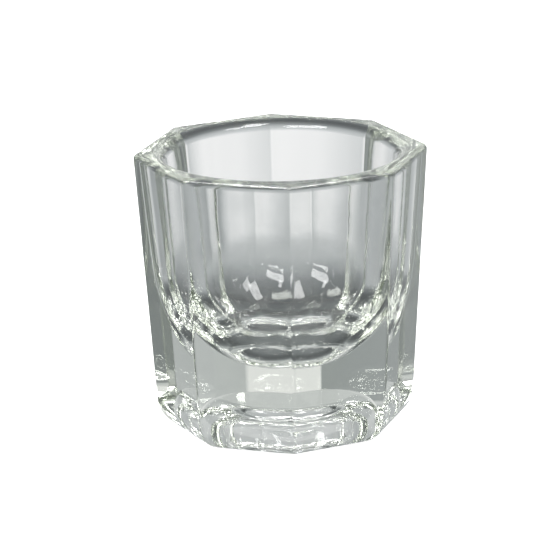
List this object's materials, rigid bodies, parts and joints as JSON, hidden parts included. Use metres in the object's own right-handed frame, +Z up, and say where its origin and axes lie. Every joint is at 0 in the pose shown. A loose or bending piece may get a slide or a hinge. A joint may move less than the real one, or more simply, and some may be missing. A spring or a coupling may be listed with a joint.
{
  "type": "dappen dish",
  "caption": "Small clear pressed-glass dish, octagonal outside, with a round-bottomed well for liquid and a flat foot ring around a domed recess.",
  "frame": {"origin": "centre of the foot ring's flat face, where the dish stands", "axes": "+Z up along the well's axis; corners of the octagon on X and Y"},
  "size_m": [0.0306, 0.0306, 0.03],
  "materials": {
    "glass": "clear, glossy, pressed and fire-polished"
  },
  "bodies": {
    "root": {"glass_dish": "glass"}
  },
  "joints": []
}
